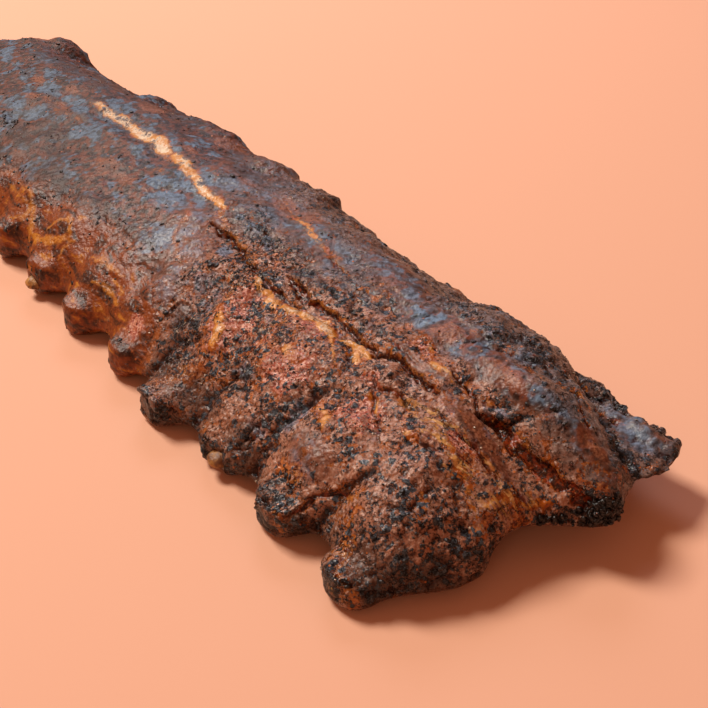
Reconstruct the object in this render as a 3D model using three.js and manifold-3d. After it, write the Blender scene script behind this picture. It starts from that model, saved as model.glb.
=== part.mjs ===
// A rack of pork back ribs, smoked whole and lying meat side up.
// One arched slab of meat stands on its rib tips and on its loin edge, and twelve rib bones run
// through it from side to side. Each bone's tip shows at the end of a nub of meat.
// Millimetres, +Z up. X runs along the rack, Y from the rib tips to the loin side.

import * as THREE from 'three';
import { ImprovedNoise } from 'three/addons/math/ImprovedNoise.js';
import { mergeVertices } from 'three/addons/utils/BufferGeometryUtils.js';
import Module from 'manifold-3d';

// ---- driving sizes ------------------------------------------------------------------------------

const RIB_COUNT = 12;
const FIRST_RIB_X = 187;
const RIB_PITCH = 33;
const PITCH_GROWTH = 0.5; // the far ribs lie a little wider apart
const GROWING_FROM_RIB = 6;

const TIP_LINE_Y = -52; // where the meat between two rib tips ends
const LOIN_LINE_Y = 60;
// The loin side draws in towards its two ends
const LOIN_TAPER = {
  near: { by: 6, fromX: 150, toX: 200 },
  far: { by: 10, fromX: -70, toX: -160 },
};
const EDGE_WANDER = { by: 2.2, tipSize: 23, loinSize: 19, loinOffset: 90 };

const NUB_REACH = 5; // a rib's nub stands out this far past the tip line
const NUB_HALF_WIDTH = 8.5;
const NUB_SHOULDER = 4;
const NUB_UNEVENNESS = { share: 0.22, step: 2.4, start: 0.6 };
const NUB_FADE = 5; // power by which a nub's reach dies away across the rack
const NUB_BLUNT_TO = 0.2; // a nub's end stays thick over this share of the rack's width

// Heights across the rack, evenly spaced from the tip line to the loin line
const TOP_NEAR = [13, 25, 31.5, 35.5, 37.5, 39, 37, 28, 12];
const TOP_FAR = [17, 28, 33, 36.5, 39, 39.5, 35, 25, 11];
const UNDERSIDE = [0, 6, 12, 15.5, 17, 16, 12.5, 6, 0];

// Where the slab ends, evenly spaced from the tip line to the loin line
const NEAR_END_X = [196, 203, 208, 204, 208, 220, 212, 215, 207];
const FAR_END_X = [-200, -210, -215, -218, -218, -214, -206, -192, -166];

const END_ROUNDING = 13;
const SIDE_ROUNDING = 7;
const EDGE_THICKNESS = 0.3; // share of the full thickness left at the rim
const TIP_THICKNESS = 0.8; // and at the end of a nub
const EDGE_HEIGHT = 0.42; // the rim closes this far up from the underside

const BONE = { halfWidth: 5, halfThickness: 3.3, tipY: -59.5, headY: 47, lowestCentre: 5.2 };
const BONE_HEAD = { growth: 1.3, from: 0.75 };
// The bones near the slab's two ends are shorter, clear of its thin corners
const BONE_SHORTENING = { fromX: 130, toX: 188, by: 25 };
const BONE_COVER = 1.6; // meat and membrane under a bone
const BONE_CLEARANCE = 0.3;
const BONE_SIDES = 8;
const BONE_RINGS = 12;

const CELLS_PER_RIB = 7;
const END_CELLS = 13;
const CELLS_ACROSS = 19;
const CELLS_THROUGH = 2;
const CLOSER_AT_RIMS = 0.45; // share by which the cells crowd towards the two long rims
const MERGE_WITHIN = 1e-3;

// ---- small helpers ------------------------------------------------------------------------------

const { clamp, lerp, smoothstep } = THREE.MathUtils;
const noise = new ImprovedNoise();
const NOISE_OFFSET = 37.3;

function craggy(x, y, size) {
  return noise.noise(x / size + NOISE_OFFSET, y / size + NOISE_OFFSET, NOISE_OFFSET / size);
}

// Smooth curve through evenly spaced values, read at t from 0 to 1
function spread(values, t) {
  const place = clamp(t, 0, 1) * (values.length - 1);
  const i = Math.min(Math.floor(place), values.length - 2);
  const f = place - i;
  const [b, c] = [values[i], values[i + 1]];
  const a = values[i - 1] ?? 2 * b - c;
  const d = values[i + 2] ?? 2 * c - b;
  return b + 0.5 * f * (c - a + f * (2 * a - 5 * b + 4 * c - d + f * (3 * (b - c) + d - a)));
}

function between(from, to, value) {
  return clamp((value - from) / (to - from), 0, 1);
}

function bell(distance, halfWidth) {
  return Math.exp(-((distance / halfWidth) ** 2));
}

// How near (x, y) lies to a line of points, and how far along it, from 0 to 1
function nearestOnLine(points, x, y) {
  let best = { distance: Infinity, along: 0 };
  for (let i = 0; i < points.length - 1; i++) {
    const [ax, ay] = points[i];
    const [bx, by] = points[i + 1];
    const length2 = (bx - ax) ** 2 + (by - ay) ** 2;
    const f = clamp(((x - ax) * (bx - ax) + (y - ay) * (by - ay)) / length2, 0, 1);
    const distance = Math.hypot(x - lerp(ax, bx, f), y - lerp(ay, by, f));
    if (distance < best.distance) best = { distance, along: (i + f) / (points.length - 1) };
  }
  return best;
}

function closedSolid(geometry) {
  geometry.deleteAttribute('normal');
  geometry.deleteAttribute('uv');
  const merged = mergeVertices(geometry, MERGE_WITHIN);
  return new wasm.Manifold(new wasm.Mesh({
    numProp: 3,
    vertProperties: merged.attributes.position.array,
    triVerts: new Uint32Array(merged.index.array),
  }));
}

function toGeometry(solid) {
  const { vertProperties, triVerts } = solid.getMesh();
  const geometry = new THREE.BufferGeometry();
  geometry.setAttribute('position', new THREE.BufferAttribute(vertProperties, 3));
  geometry.setIndex(new THREE.BufferAttribute(triVerts, 1));
  geometry.computeVertexNormals();
  return geometry;
}

// ---- the ribs' places ---------------------------------------------------------------------------

function ribX(rib) {
  const growing = Math.max(0, rib - GROWING_FROM_RIB);
  return FIRST_RIB_X - RIB_PITCH * rib - PITCH_GROWTH * growing ** 2;
}

function headY(rib) {
  const { fromX, toX, by } = BONE_SHORTENING;
  return BONE.headY - by * between(fromX, toX, Math.abs(ribX(rib)));
}

function nubReach(rib) {
  const { share, step, start } = NUB_UNEVENNESS;
  return NUB_REACH * (1 + share * Math.sin(step * rib + start));
}

const ribs = Array.from({ length: RIB_COUNT }, (_, rib) => ({
  x: ribX(rib),
  reach: nubReach(rib),
  headY: headY(rib),
}));

// 1 on a rib's nub, 0 between two ribs
function nubAt(x) {
  let nub = 0;
  for (const rib of ribs) {
    const past = Math.abs(x - rib.x) - NUB_HALF_WIDTH;
    nub = Math.max(nub, 1 - smoothstep(past, -NUB_SHOULDER, NUB_SHOULDER));
  }
  return nub;
}

function nearestReach(x) {
  return ribs.reduce((best, rib) => (Math.abs(x - rib.x) < Math.abs(x - best.x) ? rib : best)).reach;
}

// ---- the slab's faces ---------------------------------------------------------------------------

// Main forms of the meat side, each with its line in plan, half width and height
const VALLEY = {
  line: [[150, 6], [165, 4], [178, 2], [195, 1], [210, 4]],
  halfWidth: 3.5,
  depth: 9,
  depthAtStart: 0.25,
  spreadBy: 3,
};
const LOIN_CREASE = { line: [[170, 46], [184, 42], [197, 34], [212, 28]], halfWidth: 3.5, depth: 4 };
const SEAM = {
  line: [[-100, -4], [-50, 10], [0, 6], [50, -5], [90, -6], [120, -5], [165, -5]],
  halfWidth: 4,
  depth: 1.8,
};
const BACK_SEAM = { line: [[38, 23], [74, 16], [117, 9], [150, 6]], halfWidth: 4, depth: 1.5 };
const LOBES = [
  { x: 146, y: 36, halfLength: 15, halfWidth: 12, height: 4 },
  { x: 192, y: 19, halfLength: 18, halfWidth: 10, height: 5.5 },
  { x: 186, y: -30, halfLength: 16, halfWidth: 15, height: 3 },
  { x: 110, y: -22, halfLength: 24, halfWidth: 13, height: 1.5 },
  { x: 0, y: 45, halfLength: 75, halfWidth: 9, height: 3.5 },
  { x: -178, y: 37, halfLength: 14, halfWidth: 12, height: 7 },
  { x: -120, y: 40, halfLength: 32, halfWidth: 12, height: -4.5 },
  { x: 92, y: 44, halfLength: 24, halfWidth: 10, height: -4.5 },
  { x: 126, y: 41, halfLength: 14, halfWidth: 11, height: -5 },
];
const NEAR_SLOPE = { from: 158, to: 218, drop: 13, underDrop: 11, fullAcross: 0.3 };
const FAR_SLOPE = { from: -100, to: -222, drop: 9, underDrop: 5 };
const DROOP = { x: 206, y: -33, halfLength: 20, halfWidth: 20, drop: 4 };
// A thin flap beyond a fold on the loin side, lower than the meat beside it
const TONGUE = {
  fold: [[150, 58], [168, 46], [184, 37], [197, 31], [224, 20]],
  foldWidth: 5,
  fromX: 154,
  toX: 176,
  topZ: 17.5,
  underZ: 13.5,
};
const PROFILE_BLEND = { fromX: -60, toX: 80 };
const FURROW = { depth: 1.7, fadeFrom: 0.05, fadeTo: 0.4 };
const CRAG = { size: 17, height: 1.5, fineSize: 8, fineHeight: 1.0, endSize: 6.4, endHeight: 1.6 };
const TIP_LIFT = { by: 2, fadeTo: 0.16 }; // the meat between two tips ends higher than the tips
const RIB_HOLLOW = { height: 1.3, start: [0.05, 0.2], end: [0.8, 0.95] }; // under and between bones

function across(y) {
  return (y - TIP_LINE_Y) / (LOIN_LINE_Y - TIP_LINE_Y);
}

function carve(form, x, y) {
  return form.depth * bell(nearestOnLine(form.line, x, y).distance, form.halfWidth);
}

function onTongue(x, y) {
  const { fold, foldWidth, fromX, toX } = TONGUE;
  const place = fold.findIndex(([foldX]) => foldX > x);
  const i = place < 0 ? fold.length - 1 : Math.max(place, 1);
  const [[ax, ay], [bx, by]] = [fold[i - 1], fold[i]];
  const pastFold = y - lerp(ay, by, (x - ax) / (bx - ax));
  return smoothstep(x, fromX, toX) * smoothstep(pastFold, 0, foldWidth);
}

// How far the slab sags towards its two ends and in its drooping corner
function sag(x, y, size) {
  const { from, to, fullAcross } = NEAR_SLOPE;
  const near = smoothstep(x, from, to) * smoothstep(across(y), 0, fullAcross);
  const far = smoothstep(-x, -FAR_SLOPE.from, -FAR_SLOPE.to);
  const droop = bell(x - DROOP.x, DROOP.halfLength) * bell(y - DROOP.y, DROOP.halfWidth);
  return NEAR_SLOPE[size] * near + FAR_SLOPE[size] * far + DROOP.drop * droop;
}

function topZ(x, y) {
  const s = across(y);
  const nearShare = smoothstep(x, PROFILE_BLEND.fromX, PROFILE_BLEND.toX);
  let z = lerp(spread(TOP_FAR, s), spread(TOP_NEAR, s), nearShare);
  z -= sag(x, y, 'drop');
  for (const lobe of LOBES) {
    z += lobe.height * bell(x - lobe.x, lobe.halfLength) * bell(y - lobe.y, lobe.halfWidth);
  }
  const valley = nearestOnLine(VALLEY.line, x, y);
  const valleyHalfWidth = VALLEY.halfWidth + VALLEY.spreadBy * valley.along;
  const valleyDepth = VALLEY.depth * lerp(VALLEY.depthAtStart, 1, valley.along);
  z -= valleyDepth * bell(valley.distance, valleyHalfWidth);
  for (const seam of [SEAM, BACK_SEAM, LOIN_CREASE]) {
    z -= carve(seam, x, y);
  }
  z = lerp(z, TONGUE.topZ, onTongue(x, y));
  z -= FURROW.depth * (1 - nubAt(x)) * (1 - smoothstep(s, FURROW.fadeFrom, FURROW.fadeTo));
  z += CRAG.height * craggy(x, y, CRAG.size) + CRAG.fineHeight * craggy(x, y, CRAG.fineSize);
  const atEnd = smoothstep(x, NEAR_SLOPE.from, NEAR_SLOPE.to);
  z += CRAG.endHeight * atEnd * craggy(x, y, CRAG.endSize);
  return z;
}

function undersideZ(x, y) {
  const s = across(y);
  let z = spread(UNDERSIDE, s);
  z += TIP_LIFT.by * (1 - nubAt(x)) * (1 - smoothstep(s, 0, TIP_LIFT.fadeTo));
  const { height, start, end } = RIB_HOLLOW;
  z += height * (1 - nubAt(x)) * smoothstep(s, ...start) * (1 - smoothstep(s, ...end));
  z -= sag(x, y, 'underDrop');
  z = lerp(z, TONGUE.underZ, onTongue(x, y));
  return Math.max(z, 0);
}

// ---- meat ---------------------------------------------------------------------------------------

// X of each line of cells: even steps from rib to rib, then fanned out to the slab's two ends
function lineX(line, s) {
  const farX = ribs[RIB_COUNT - 2].x;
  const nearX = ribs[1].x;
  const innerCells = CELLS_PER_RIB * (RIB_COUNT - 3);
  if (line < END_CELLS) return lerp(spread(FAR_END_X, s), farX, line / END_CELLS);
  if (line > END_CELLS + innerCells) {
    return lerp(nearX, spread(NEAR_END_X, s), (line - END_CELLS - innerCells) / END_CELLS);
  }
  const place = (line - END_CELLS) / CELLS_PER_RIB;
  const rib = Math.min(Math.floor(place), RIB_COUNT - 4);
  return lerp(ribs[RIB_COUNT - 2 - rib].x, ribs[RIB_COUNT - 3 - rib].x, place - rib);
}

// The lines of the two long rims in plan
function tipRimY(x) {
  return TIP_LINE_Y + EDGE_WANDER.by * craggy(x, 0, EDGE_WANDER.tipSize);
}

function loinRimY(x) {
  const { near, far } = LOIN_TAPER;
  const taper = near.by * smoothstep(x, near.fromX, near.toX)
    + far.by * smoothstep(-x, -far.fromX, -far.toX);
  const { by, loinSize, loinOffset } = EDGE_WANDER;
  return LOIN_LINE_Y - taper + by * craggy(x, loinOffset, loinSize);
}

function roundOff(distance, radius) {
  return Math.sqrt(1 - (1 - clamp(distance / radius, 0, 1)) ** 2);
}

function meatGeometry() {
  const lines = 2 * END_CELLS + CELLS_PER_RIB * (RIB_COUNT - 3);
  const geometry = new THREE.BoxGeometry(1, 1, 1, lines, CELLS_ACROSS, CELLS_THROUGH);
  const position = geometry.attributes.position;
  for (let i = 0; i < position.count; i++) {
    const line = Math.round((position.getX(i) + 0.5) * lines);
    const even = position.getY(i) + 0.5;
    const s = lerp(even, 0.5 - 0.5 * Math.cos(Math.PI * even), CLOSER_AT_RIMS);
    const x = lineX(line, s);
    const y = lerp(tipRimY(x), loinRimY(x), s) - nubAt(x) * nearestReach(x) * (1 - s) ** NUB_FADE;
    const toEnd = Math.min(x - spread(FAR_END_X, s), spread(NEAR_END_X, s) - x);
    const toSide = Math.min(s, 1 - s) * (LOIN_LINE_Y - TIP_LINE_Y);
    const full = roundOff(toEnd, END_ROUNDING) * roundOff(toSide, SIDE_ROUNDING);
    const [low, high] = [undersideZ(x, y), topZ(x, y)];
    const middle = lerp(low, high, EDGE_HEIGHT);
    const blunt = nubAt(x) * (1 - smoothstep(s, 0, NUB_BLUNT_TO));
    const share = lerp(lerp(EDGE_THICKNESS, TIP_THICKNESS, blunt), 1, full);
    const level = position.getZ(i) + 0.5;
    position.setXYZ(i, x, y, lerp(lerp(middle, low, share), lerp(middle, high, share), level));
  }
  return geometry;
}

// ---- rib bones ----------------------------------------------------------------------------------

// A bone is turned about +Y, flattened, and bent to follow the arch over the underside
function boneGeometry(rib, swell) {
  const { halfWidth, halfThickness, tipY, lowestCentre } = BONE;
  const reachY = tipY - (rib.reach - NUB_REACH) - swell;
  const length = rib.headY + swell - reachY;
  const profile = [];
  for (let ring = 0; ring <= BONE_RINGS; ring++) {
    const f = 0.5 - 0.5 * Math.cos((Math.PI * ring) / BONE_RINGS);
    const growth = lerp(1, BONE_HEAD.growth, smoothstep(f, BONE_HEAD.from, 1));
    const rounding = roundOff(Math.min(f, 1 - f) * length, halfWidth);
    profile.push(new THREE.Vector2((ring % BONE_RINGS ? 1 : 0) * growth * rounding, f * length));
  }
  const geometry = new THREE.LatheGeometry(profile, BONE_SIDES);
  const position = geometry.attributes.position;
  for (let i = 0; i < position.count; i++) {
    const y = reachY + position.getY(i);
    const under = undersideZ(rib.x, Math.max(y, TIP_LINE_Y));
    const centreZ = Math.max(under + BONE_COVER + halfThickness, lowestCentre);
    position.setXYZ(
      i,
      rib.x + position.getX(i) * (halfWidth + swell),
      y,
      centreZ + position.getZ(i) * (halfThickness + swell),
    );
  }
  return geometry;
}

// ---- assembly -----------------------------------------------------------------------------------

const wasm = await Module();
wasm.setup();

const barkMaterial = new THREE.MeshStandardMaterial({ color: 0x5a3228, roughness: 0.55, metalness: 0 });
const boneMaterial = new THREE.MeshStandardMaterial({ color: 0xb98a52, roughness: 0.6, metalness: 0 });

let meatSolid = closedSolid(meatGeometry());
for (const rib of ribs) {
  meatSolid = meatSolid.subtract(closedSolid(boneGeometry(rib, BONE_CLEARANCE)));
}
const meat = new THREE.Mesh(toGeometry(meatSolid), barkMaterial);
meat.name = 'meat';

const rack = new THREE.Group();
rack.add(meat);
ribs.forEach((rib, index) => {
  const bone = new THREE.Mesh(toGeometry(closedSolid(boneGeometry(rib, 0))), boneMaterial);
  bone.name = `bone_${String(index + 1).padStart(2, '0')}`;
  rack.add(bone);
});

// The origin lies under the middle of the rack's box, on the surface that it stands on
const box = new THREE.Box3().setFromObject(rack);
const centre = box.getCenter(new THREE.Vector3());
rack.position.set(-centre.x, -centre.y, -box.min.z);

export default rack;
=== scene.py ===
import math

import bmesh
import bpy
import numpy as np
from mathutils import Euler, Matrix, Vector, noise
from mathutils.bvhtree import BVHTree


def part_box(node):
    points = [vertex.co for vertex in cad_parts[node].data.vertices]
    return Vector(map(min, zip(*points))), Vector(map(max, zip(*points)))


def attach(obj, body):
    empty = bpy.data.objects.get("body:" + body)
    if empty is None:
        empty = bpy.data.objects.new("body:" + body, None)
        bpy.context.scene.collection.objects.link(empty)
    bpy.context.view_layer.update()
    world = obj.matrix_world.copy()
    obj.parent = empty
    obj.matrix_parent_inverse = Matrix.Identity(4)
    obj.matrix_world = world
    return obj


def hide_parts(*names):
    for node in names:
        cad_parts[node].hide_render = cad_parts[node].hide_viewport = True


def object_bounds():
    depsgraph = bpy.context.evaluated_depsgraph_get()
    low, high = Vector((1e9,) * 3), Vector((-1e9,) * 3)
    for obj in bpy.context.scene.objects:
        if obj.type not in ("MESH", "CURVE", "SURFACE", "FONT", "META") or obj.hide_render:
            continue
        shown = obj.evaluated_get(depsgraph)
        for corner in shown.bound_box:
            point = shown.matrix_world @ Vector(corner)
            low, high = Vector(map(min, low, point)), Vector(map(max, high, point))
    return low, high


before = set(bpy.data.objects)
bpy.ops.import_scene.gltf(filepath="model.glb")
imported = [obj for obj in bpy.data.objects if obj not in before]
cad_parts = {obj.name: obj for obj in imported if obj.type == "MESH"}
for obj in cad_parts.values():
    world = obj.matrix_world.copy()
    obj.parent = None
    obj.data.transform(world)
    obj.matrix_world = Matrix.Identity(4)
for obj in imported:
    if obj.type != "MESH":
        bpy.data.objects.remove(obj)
cad_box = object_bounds()

# ---- The slab of meat: its shape -----------------------------------------------------------------
# One piece of loin meat on twelve ribs, shrunk and crusted by a long smoke. The bark that has set
# on it is lumpy, cracked and flaked, the fat has rendered into ridges, and the muscles have drawn
# apart along creases.

MM = 0.001
WELD = 0.002 * MM
CHANNEL_GAP = 0.45 * MM  # a face of the slab this near to a bone lines the channel it runs in
COARSE_VOXEL = 1.4 * MM
ROUNDING_PASSES = 15
MEAT_TRIANGLES = 188_000


def merged_copy(node, name):
    """A copy of a node's mesh with its loose triangles joined, as a new piece."""
    bm = bmesh.new()
    bm.from_mesh(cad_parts[node].data)
    bmesh.ops.remove_doubles(bm, verts=bm.verts, dist=WELD)
    mesh = bpy.data.meshes.new(name)
    bm.to_mesh(mesh)
    bm.free()
    piece = bpy.data.objects.new(name, mesh)
    bpy.context.scene.collection.objects.link(piece)
    return piece


def apply_modifiers(piece):
    bpy.context.view_layer.update()
    made = bpy.data.meshes.new_from_object(piece.evaluated_get(bpy.context.evaluated_depsgraph_get()))
    piece.modifiers.clear()
    old, piece.data = piece.data, made
    name = old.name
    bpy.data.meshes.remove(old)
    made.name = name


def points_of(mesh):
    """The mesh's points, in millimetres."""
    flat = np.empty(len(mesh.vertices) * 3, np.float32)
    mesh.vertices.foreach_get("co", flat)
    return flat.reshape(-1, 3).astype(float) / MM


def set_points(mesh, points):
    mesh.vertices.foreach_set("co", (points * MM).astype(np.float32).ravel())
    mesh.update()


def normals_of(mesh):
    flat = np.empty(len(mesh.vertices) * 3, np.float32)
    mesh.vertices.foreach_get("normal", flat)
    return flat.reshape(-1, 3).astype(float)


def relax(mesh, points, steps):
    """Rounds off a mesh's facets without shrinking it: each pass in is followed by one out."""
    pull_in, push_out = 0.6, -0.61
    ends = np.empty(len(mesh.edges) * 2, np.int32)
    mesh.edges.foreach_get("vertices", ends)
    a, b = ends.reshape(-1, 2).T
    count = len(points)
    share = np.bincount(a, minlength=count) + np.bincount(b, minlength=count)
    for _ in range(steps):
        for give in (pull_in, push_out):
            pull = np.stack([np.bincount(a, points[b, k], count) + np.bincount(b, points[a, k], count)
                             for k in range(3)], 1) / share[:, None]
            points = points + give * (pull - points)
    return points


meat = merged_copy("meat", "meat_bark")
bones_tree = [BVHTree.FromObject(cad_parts[f"bone_{i:02d}"], bpy.context.evaluated_depsgraph_get())
              for i in range(1, 13)]
bm = bmesh.new()
bm.from_mesh(meat.data)
lining = [f for f in bm.faces
          if any(t.find_nearest(f.calc_center_median(), CHANNEL_GAP)[0] is not None for t in bones_tree)]
bmesh.ops.delete(bm, geom=lining, context="FACES")
bmesh.ops.holes_fill(bm, edges=[e for e in bm.edges if e.is_boundary], sides=0)
bmesh.ops.triangulate(bm, faces=bm.faces)
bm.to_mesh(meat.data)
bm.free()

remesh = meat.modifiers.new("even", "REMESH")
remesh.mode = "VOXEL"
remesh.voxel_size = COARSE_VOXEL
apply_modifiers(meat)
set_points(meat.data, relax(meat.data, points_of(meat.data), ROUNDING_PASSES))
rounder = meat.modifiers.new("finer", "SUBSURF")
rounder.levels = rounder.render_levels = 1
apply_modifiers(meat)

# The slab's points, in millimetres, and its normals
P = points_of(meat.data)
N = normals_of(meat.data)


def ramp(low, high, value):
    t = np.clip((value - low) / (high - low), 0, 1)
    return t * t * (3 - 2 * t)


def lumps(points, size, seed=0.0):
    """Smooth noise from -1 to 1 whose lumps are this many millimetres across."""
    return np.array([noise.noise(p) for p in (points / size + seed).tolist()])


def cells(points, size, seed=0.0):
    """Cells of this many millimetres: distance to the nearest centre and to the next, and a
    number from 0 to 1 that is the same all over a cell."""
    found = [noise.voronoi(p) for p in (points / size + seed).tolist()]
    near = np.array([f[0][:2] for f in found])
    centre = np.array([tuple(f[1][0]) for f in found])
    return near[:, 0], near[:, 1], np.modf(np.abs(np.sin(centre @ (12.9, 78.2, 37.7)) * 4375.8))[0]


# Places on the slab, in millimetres along X and Y, wander about before they are looked up, so that
# nothing on the bark has a drawn edge.
WANDER = 1.5
wander = np.stack([lumps(P, 7, 3.1) + 0.6 * lumps(P, 2.4, 8.2),
                   lumps(P, 7, 5.7) + 0.6 * lumps(P, 2.4, 1.4)], 1)
PLACE = P[:, :2] + WANDER * wander


def strand(points, soft=0.7, place=PLACE):
    """1 on a line of (x, y, half width), 0 beside it."""
    past = np.full(len(place), 1e6)
    for (ax, ay, aw), (bx, by, bw) in zip(points, points[1:]):
        run = np.array([bx - ax, by - ay])
        away = place - (ax, ay)
        t = np.clip(away @ run / (run @ run), 0, 1)
        past = np.minimum(past, np.hypot(*(away - t[:, None] * run).T) - (aw + (bw - aw) * t))
    return 1 - ramp(-soft, soft, past)


def patch(x, y, rx, ry, turn=0.0, place=PLACE):
    """1 at the middle of an oval patch, 0 outside it."""
    c, s = math.cos(math.radians(turn)), math.sin(math.radians(turn))
    dx, dy = place[:, 0] - x, place[:, 1] - y
    return 1 - ramp(0.35, 1.0, np.hypot((dx * c + dy * s) / rx, (dy * c - dx * s) / ry))


def most(*masks):
    return np.maximum.reduce(masks)


def patches(places):
    """The most that any of these patches of (x, y, rx, ry, turn, strength) gives."""
    return most(*(whole * patch(x, y, rx, ry, turn) for x, y, rx, ry, turn, whole in places))


RIB_X = [(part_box(f"bone_{i:02d}")[0].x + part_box(f"bone_{i:02d}")[1].x) / 2 / MM for i in range(1, 13)]
up = ramp(-0.35, 0.05, N[:, 2])
under = 1 - ramp(-0.8, -0.45, N[:, 2])

# Rendered fat, as lines of (x, y, half width), each with how whole it is: the long seam down the
# back, the rim of the round muscle, and the fan of fat and tendon at the near end
FAT_LINES = [
    (1.0, [(-84, 7.0, 1.2), (-74, 8, 2.4), (-66, 8.4, 3.0), (-56, 9, 3.6)]),
    (1.0, [(-58, 9.2, 2.8), (-48, 9.6, 3.6), (-38, 9.8, 3.8), (-30, 9.8, 3.8), (-24, 9.6, 3.2),
           (-20, 9.4, 1.6)]),
    (1.0, [(-15, 9.8, 2.4), (-8, 9.4, 3.0), (0, 7.8, 2.8), (10, 6.2, 2.2), (20, 4.8, 1.8), (28, 3.8, 1.4),
           (34, 2.8, 0.8)]),
    (0.7, [(18, -3, 0.5), (24, -7, 0.9), (29, -10, 0.5)]),
    (0.85, [(79, -12, 1.2), (84, -14, 1.8), (90, -15.5, 1.8), (96, -16, 1.6)]),
    (0.9, [(94, -15, 1.4), (101, -14.5, 2.0), (108, -12.5, 2.2), (114, -11, 2.2), (122, -12, 1.4)]),
    (0.9, [(125, -11, 1.0), (131, -9.5, 1.8), (138, -10, 1.2)]),
    (1.0, [(110, -14, 1.0), (114, -12.5, 1.0), (119, -12.8, 1.2), (123, -13.5, 0.8), (127, -15.5, 0.5),
           (130, -18, 0.4), (133, -20.5, 0.3)]),
    (0.7, [(130, -9, 1.8), (136, -13, 1.8)]),
    (0.8, [(140, 9, 0.2), (146, 7, 0.35), (150, 5, 0.5), (153, 2.6, 0.4)]),
    (0.9, [(153, 2.2, 0.5), (156, 1.2, 1.4), (160, 1, 1.3), (163, 0.6, 0.4)]),
    (0.7, [(48, 18.5, 0.6), (58, 17.8, 0.9), (65, 18, 0.6)]),
    (0.7, [(69, 16.5, 0.6), (73, 15.5, 0.7), (80, 13.3, 1.0), (84, 12.8, 0.5)]),
    (0.9, [(171, -21.5, 1.5), (173, -21.3, 1.3)]),
    (0.45, [(163, -15, 0.7), (170, -14, 1.2), (178, -14, 1.6), (184, -15, 0.9)]),
    (0.7, [(184, -15.3, 0.4), (192, -17.3, 0.5), (198, -19.5, 0.5)]),
    (0.7, [(199, -20, 0.4), (200, -15, 0.5), (201.5, -8, 0.6), (203.5, -3, 0.8), (206, 1, 0.7),
           (207, 4, 0.4)]),
    (0.95, [(82, -27.5, 0.6), (86, -30.5, 1.1), (90, -34, 1.1), (93, -38, 0.5)]),
    (0.6, [(62, 18, 0.7), (70, 17, 1.0), (76, 15, 1.2), (82, 13.8, 0.8)]),
    (0.7, [(150, -19.5, 0.4), (153, -20.3, 0.5), (158, -22.5, 0.3)]),
    (0.6, [(142, -31, 1.6), (147, -32, 1.8), (150, -35, 1.0)]),
    (0.5, [(118, -26, 2.5), (124, -27, 2.0)]),
]
# Thin streaks of fat on the flank between the far ribs, in curls round the foot of each nub
FLANK_FAT = [
    [(-62, -43, 0.5), (-55, -43.5, 1.0), (-46, -44, 0.9), (-39, -43.5, 0.4)],
    [(-36, -44, 0.9), (-33, -45, 2.0), (-30, -47.5, 1.4), (-27, -50, 0.8)],
    [(-22, -49, 0.8), (-14, -47.5, 1.4), (-8, -45, 1.4), (-2, -42, 0.9)],
    [(16, -42.5, 0.8), (20, -41.5, 1.1), (28, -40, 0.8), (34, -39.5, 0.4)],
    [(23, -47, 0.9), (27, -45.5, 1.1), (33, -44.5, 0.9), (40, -47, 0.5)],
]
curls = [[(x + 8.5 * math.cos(a), -49 + 9 * math.sin(a), 0.9) for a in np.linspace(0.1, 2.6, 7)]
         for x in RIB_X if x < 0]
fat = most(*(whole * strand(line, 1.7) for whole, line in FAT_LINES)) * up
flank_fat = most(*(strand(line, 2.2) for line in FLANK_FAT + curls)) * ramp(-0.5, 0.0, N[:, 2])

# Wet dark-red glaze in the creases, where juice has run and set
GLAZE_LINES = [
    [(84, -3, 0.6), (91, -5.5, 1.1), (97, -7, 1.3), (100, -7, 1.3), (106, -6, 1.1), (113, -5.3, 1.0),
     (120, -6, 0.9), (130, -7, 0.9), (137, -6.5, 0.6)],
    [(138, -8, 0.8), (142, -5.5, 1.1), (148, -5, 1.1), (155, -5.2, 1.1), (159, -6.5, 0.8), (163, -5, 0.5)],
    [(135, -3, 0.2), (140, -2, 0.4), (148, -1.5, 0.4), (151, -1, 0.2)],
    [(160, 3.4, 0.5), (164, 2.7, 0.7), (168, 2.8, 0.6), (172, 2.5, 0.5), (176, 0, 0.7), (180, 2, 1.6),
     (185, 3.2, 2.0), (190, 2, 1.5), (195, 3.8, 1.7), (200, 5.5, 1.5), (205, 6.3, 1.1), (210, 7, 0.9),
     (214, 9, 0.4)],
    [(165, -10, 0.3), (175, -10, 0.5), (182, -9, 0.6), (190, -9.5, 0.7), (194, -9.5, 0.4)],
    [(146, -15, 0.3), (150, -18.5, 0.3), (156, -22.5, 0.5), (165, -27.5, 0.3)],
    [(163, -14, 0.4), (158, -13, 0.6), (153, -15, 0.5), (149, -18, 0.3)],
    [(38, -5.4, 0.3), (43, -5.8, 0.9), (47, -5, 1.1), (50, -4.4, 0.8), (58, -5.6, 0.7), (66, -8, 0.7)],
    [(69, -9.5, 0.8), (78, -10.5, 1.3), (88, -12, 1.2), (97, -11, 1.0), (104, -9.5, 0.7)],
    [(86, 12.6, 0.4), (93, 11.2, 0.6), (98, 10.3, 0.4)],
    [(171, -41, 0.4), (166, -45, 0.6), (163, -48, 0.6), (161, -54, 0.5)],
    [(174, 46, 0.8), (179, 45.5, 1.0), (185, 43.5, 1.2), (190, 43.5, 0.6)],
    [(186, 29, 0.4), (192, 25.5, 0.5), (200, 21, 0.4)],
    [(128, -44, 0.3), (130, -48, 0.5), (127, -53, 0.4)],
]
DEEP_FURROWS = (0, 1, 7, 8)
FURROW_DEPTH = 1.1
glaze = most(*(strand(line, 0.6) for line in GLAZE_LINES)) * up

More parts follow.
